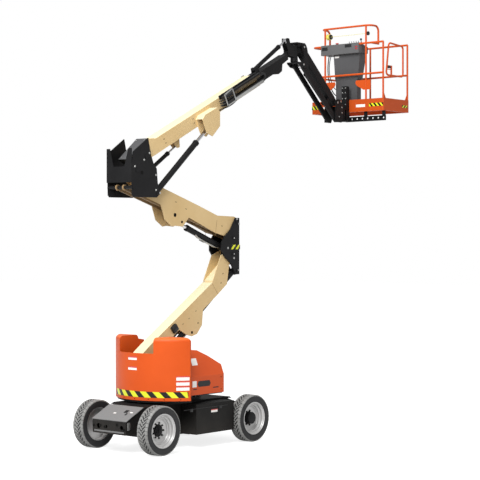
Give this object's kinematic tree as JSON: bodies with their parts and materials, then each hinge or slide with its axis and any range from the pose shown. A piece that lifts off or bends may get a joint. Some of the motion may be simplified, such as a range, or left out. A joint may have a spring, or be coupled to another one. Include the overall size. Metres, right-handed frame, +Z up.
{
  "type": "articulating boom lift",
  "caption": "Electric articulating boom lift on four wheels, with a folding tower, telescopic boom, swinging jib and a railed work platform.",
  "frame": {"origin": "on the ground under the middle of the whole machine in its stored pose", "axes": "+X towards the platform, +Z up, steered wheels at the -X end"},
  "size_m": [6.4808, 1.52, 6.7066],
  "materials": {
    "tyre_rubber": "moulded grey rubber",
    "silver_rim": "satin silver paint",
    "orange_hood": "gloss orange paint",
    "orange_cover": "gloss orange moulding",
    "cream_boom": "semi-gloss cream and tan paint",
    "tan_link": "satin tan paint",
    "grey_cover": "satin grey paint",
    "chrome_rod": "polished hard chrome",
    "battery_case": "matte case",
    "iron_weight": "rough casting",
    "floor_plate": "brushed floor plate",
    "grey_plastic": "moulded plastic",
    "black_plastic": "moulded chain links",
    "black_steel": "satin black paint"
  },
  "bodies": {
    "chassis": {"chassis_frame": "black_steel", "steer_cover": "grey_cover", "battery_boxes": "black_steel", "batteries": "battery_case", "steer_axle": "black_steel", "drive_axle": "black_steel"},
    "knuckle_near": {"steer_knuckle_near": "black_steel"},
    "knuckle_far": {"steer_knuckle_far": "black_steel"},
    "tie_rod": {"tie_rod": "black_steel"},
    "steer_near_wheel": {"steer_near_tyre": "tyre_rubber", "steer_near_rim": "silver_rim"},
    "steer_far_wheel": {"steer_far_tyre": "tyre_rubber", "steer_far_rim": "silver_rim"},
    "drive_near_wheel": {"drive_near_tyre": "tyre_rubber", "drive_near_rim": "silver_rim"},
    "drive_far_wheel": {"drive_far_tyre": "tyre_rubber", "drive_far_rim": "silver_rim"},
    "turntable": {"turntable_frame": "black_steel", "tail_hood": "orange_hood", "side_hoods": "orange_cover", "counterweight": "iron_weight"},
    "lower_boom": {"lower_boom": "cream_boom"},
    "lower_link": {"lower_link": "black_steel"},
    "lower_ram_barrel": {"lower_ram_barrel": "black_steel"},
    "lower_ram_rod": {"lower_ram_rod": "chrome_rod"},
    "mid_upright": {"mid_upright": "black_steel"},
    "mid_boom": {"mid_boom": "cream_boom"},
    "mid_link": {"mid_link": "tan_link"},
    "mid_ram_barrel": {"mid_ram_barrel": "black_steel"},
    "mid_ram_rod": {"mid_ram_rod": "chrome_rod"},
    "upper_upright": {"upper_upright": "black_steel"},
    "main_boom": {"main_boom": "cream_boom", "hose_carrier": "black_plastic"},
    "main_ram_barrel": {"main_ram_barrel": "black_steel"},
    "main_ram_rod": {"main_ram_rod": "chrome_rod"},
    "master_ram_barrel": {"master_ram_barrel": "black_steel"},
    "master_ram_rod": {"master_ram_rod": "chrome_rod"},
    "fly_boom": {"fly_boom": "black_steel"},
    "slave_ram_barrel": {"slave_ram_barrel": "black_steel"},
    "slave_ram_rod": {"slave_ram_rod": "chrome_rod"},
    "jib_head": {"jib_head": "black_steel"},
    "jib_yoke": {"jib_yoke": "black_steel"},
    "jib_boom": {"jib_boom": "black_steel"},
    "jib_straps": {"jib_straps": "black_steel"},
    "jib_ram_barrel": {"jib_ram_barrel": "black_steel"},
    "jib_ram_rod": {"jib_ram_rod": "chrome_rod"},
    "platform_support": {"platform_support": "black_steel"},
    "platform": {"platform_mount": "black_steel", "platform_deck": "floor_plate", "platform_rails": "black_steel", "control_console": "grey_plastic"},
    "platform_gate": {"platform_gate": "black_steel"}
  },
  "joints": [
    {"name": "turntable_swing", "type": "hinge", "parent": "chassis", "child": "turntable", "pos_m": [-1.88493, 0, 0.7], "axis": [0, 0, 1], "range_deg": [-177.5, 177.5]},
    {"name": "steering_near", "type": "hinge", "parent": "chassis", "child": "knuckle_near", "pos_m": [-2.88493, -0.5, 0.3555], "axis": [0, 0, 1], "range_deg": [-30, 30]},
    {"name": "steering_far", "type": "hinge", "parent": "chassis", "child": "knuckle_far", "pos_m": [-2.88493, 0.5, 0.3555], "axis": [0, 0, 1], "range_deg": [-30.5, 30.5]},
    {"name": "tie_rod_pivot", "type": "hinge", "parent": "knuckle_near", "child": "tie_rod", "pos_m": [-2.75493, -0.478, 0.25], "axis": [0, 0, 1], "range_deg": [-30.5, 30.5]},
    {"name": "steer_near_spin", "type": "hinge", "parent": "knuckle_near", "child": "steer_near_wheel", "pos_m": [-2.88493, -0.65, 0.3555], "axis": [0, 1, 0], "continuous": true},
    {"name": "steer_far_spin", "type": "hinge", "parent": "knuckle_far", "child": "steer_far_wheel", "pos_m": [-2.88493, 0.65, 0.3555], "axis": [0, 1, 0], "continuous": true},
    {"name": "drive_near_spin", "type": "hinge", "parent": "chassis", "child": "drive_near_wheel", "pos_m": [-0.88493, -0.65, 0.3555], "axis": [0, 1, 0], "continuous": true},
    {"name": "drive_far_spin", "type": "hinge", "parent": "chassis", "child": "drive_far_wheel", "pos_m": [-0.88493, 0.65, 0.3555], "axis": [0, 1, 0], "continuous": true},
    {"name": "tower_lower_lift", "type": "hinge", "parent": "turntable", "child": "lower_boom", "pos_m": [-2.62493, 0, 1.33], "axis": [0, -1, 0], "range_deg": [-40.7, 27.3]},
    {"name": "lower_link_pivot", "type": "hinge", "parent": "turntable", "child": "lower_link", "pos_m": [-2.52493, 0, 1.068], "axis": [0, -1, 0], "range_deg": [-41.2, 27.8]},
    {"name": "mid_upright_pivot", "type": "hinge", "parent": "lower_boom", "child": "mid_upright", "pos_m": [-0.66665, 0, 2.84353], "axis": [0, -1, 0], "range_deg": [-27.8, 41.2]},
    {"name": "lower_ram_base", "type": "hinge", "parent": "turntable", "child": "lower_ram_barrel", "pos_m": [-2.48493, 0, 0.86], "axis": [0, -1, 0], "range_deg": [-35.35, 23.87]},
    {"name": "lower_ram_stroke", "type": "slide", "parent": "lower_ram_barrel", "child": "lower_ram_rod", "axis": [0.7441, 0, 0.6681], "range_m": [-0.32877, 0.22119]},
    {"name": "tower_mid_lift", "type": "hinge", "parent": "mid_upright", "child": "mid_boom", "pos_m": [-0.57665, 0, 3.33553], "axis": [0, 1, 0], "range_deg": [-14.3, 42.7]},
    {"name": "mid_link_pivot", "type": "hinge", "parent": "mid_upright", "child": "mid_link", "pos_m": [-0.65765, 0, 3.09353], "axis": [0, 1, 0], "range_deg": [-14.8, 43.2]},
    {"name": "upper_upright_pivot", "type": "hinge", "parent": "mid_boom", "child": "upper_upright", "pos_m": [-2.90627, 0, 4.06112], "axis": [0, 1, 0], "range_deg": [-43.2, 14.8]},
    {"name": "mid_ram_base", "type": "hinge", "parent": "mid_upright", "child": "mid_ram_barrel", "pos_m": [-0.79065, 0, 2.93953], "axis": [0, -1, 0], "range_deg": [-41.61, 14.27]},
    {"name": "mid_ram_stroke", "type": "slide", "parent": "mid_ram_barrel", "child": "mid_ram_rod", "axis": [-0.9366, 0, 0.3503], "range_m": [-0.1098, 0.3239]},
    {"name": "main_lift", "type": "hinge", "parent": "upper_upright", "child": "main_boom", "pos_m": [-2.71427, 0, 4.27012], "axis": [0, -1, 0], "range_deg": [-26.5, 45.5]},
    {"name": "main_ram_base", "type": "hinge", "parent": "upper_upright", "child": "main_ram_barrel", "pos_m": [-2.48927, -0.185, 3.73012], "axis": [0, -1, 0], "range_deg": [-22.77, 38.74]},
    {"name": "main_ram_stroke", "type": "slide", "parent": "main_ram_barrel", "child": "main_ram_rod", "axis": [0.7533, 0, 0.6577], "range_m": [-0.24498, 0.4192]},
    {"name": "master_ram_base", "type": "hinge", "parent": "upper_upright", "child": "master_ram_barrel", "pos_m": [-2.42927, 0, 4.06512], "axis": [0, -1, 0], "range_deg": [-28.74, 48.99]},
    {"name": "master_ram_stroke", "type": "slide", "parent": "master_ram_barrel", "child": "master_ram_rod", "axis": [0.8293, 0, 0.5588], "range_m": [-0.14039, 0.23961]},
    {"name": "telescope", "type": "slide", "parent": "main_boom", "child": "fly_boom", "axis": [0.8949, 0, 0.4462], "range_m": [0, 1.1]},
    {"name": "head_pivot", "type": "hinge", "parent": "fly_boom", "child": "jib_head", "pos_m": [0.85524, 0, 6.1001], "axis": [0, -1, 0], "range_deg": [-46, 27]},
    {"name": "slave_ram_base", "type": "hinge", "parent": "fly_boom", "child": "slave_ram_barrel", "pos_m": [0.01007, 0, 5.76475], "axis": [0, -1, 0], "range_deg": [-4.73, 2.96]},
    {"name": "slave_ram_stroke", "type": "slide", "parent": "slave_ram_barrel", "child": "slave_ram_rod", "axis": [0.8262, 0, 0.5633], "range_m": [-0.08743, 0.14868]},
    {"name": "jib_swing", "type": "hinge", "parent": "jib_head", "child": "jib_yoke", "pos_m": [1.02024, 0, 6.1001], "axis": [0, 0, 1], "range_deg": [-90, 90]},
    {"name": "jib_lift", "type": "hinge", "parent": "jib_yoke", "child": "jib_boom", "pos_m": [1.14124, 0, 6.2181], "axis": [0, -1, 0], "range_deg": [-17, 113]},
    {"name": "strap_pivot", "type": "hinge", "parent": "jib_yoke", "child": "jib_straps", "pos_m": [1.12524, 0, 5.9301], "axis": [0, -1, 0], "range_deg": [-17.5, 113.5]},
    {"name": "jib_ram_base", "type": "hinge", "parent": "jib_boom", "child": "jib_ram_barrel", "pos_m": [1.8544, 0, 5.34796], "axis": [0, -1, 0], "range_deg": [-0.86, 2.9]},
    {"name": "jib_ram_stroke", "type": "slide", "parent": "jib_ram_barrel", "child": "jib_ram_rod", "axis": [-0.7562, 0, 0.6543], "range_m": [-0.08116, 0.52815]},
    {"name": "support_pivot", "type": "hinge", "parent": "jib_boom", "child": "platform_support", "pos_m": [2.05543, 0, 5.3656], "axis": [0, -1, 0], "range_deg": [-113.5, 17.5]},
    {"name": "platform_rotate", "type": "hinge", "parent": "platform_support", "child": "platform", "pos_m": [2.32043, 0, 5.2996], "axis": [0, 0, 1], "range_deg": [-90, 90]},
    {"name": "gate_hinge", "type": "hinge", "parent": "platform", "child": "platform_gate", "pos_m": [3.08543, -0.74, 5.8696], "axis": [0, 0, -1], "range_deg": [0, 80]}
  ],
  "couplings": [
    {"joint": "steering_far", "follows": "steering_near", "ratio": 1},
    {"joint": "tie_rod_pivot", "follows": "steering_near", "ratio": -1},
    {"joint": "lower_link_pivot", "follows": "tower_lower_lift", "ratio": 1},
    {"joint": "mid_upright_pivot", "follows": "tower_lower_lift", "ratio": -1},
    {"joint": "lower_ram_base", "follows": "tower_lower_lift", "ratio": 0.8562},
    {"joint": "lower_ram_stroke", "follows": "tower_lower_lift", "m_per_rad": 0.46},
    {"joint": "mid_link_pivot", "follows": "tower_mid_lift", "ratio": 1},
    {"joint": "upper_upright_pivot", "follows": "tower_mid_lift", "ratio": -1},
    {"joint": "mid_ram_base", "follows": "tower_mid_lift", "ratio": -0.9628},
    {"joint": "mid_ram_stroke", "follows": "tower_mid_lift", "m_per_rad": 0.4319},
    {"joint": "main_ram_base", "follows": "main_lift", "ratio": 0.8405},
    {"joint": "main_ram_stroke", "follows": "main_lift", "m_per_rad": 0.5254},
    {"joint": "master_ram_base", "follows": "main_lift", "ratio": 1.0657},
    {"joint": "master_ram_stroke", "follows": "main_lift", "m_per_rad": 0.2992},
    {"joint": "head_pivot", "follows": "main_lift", "ratio": -1},
    {"joint": "slave_ram_base", "follows": "main_lift", "ratio": -0.093},
    {"joint": "slave_ram_stroke", "follows": "main_lift", "m_per_rad": 0.1847},
    {"joint": "strap_pivot", "follows": "jib_lift", "ratio": 1},
    {"joint": "jib_ram_base", "follows": "jib_lift", "ratio": 0.0213},
    {"joint": "jib_ram_stroke", "follows": "jib_lift", "m_per_rad": 0.2668},
    {"joint": "support_pivot", "follows": "jib_lift", "ratio": -1}
  ]
}
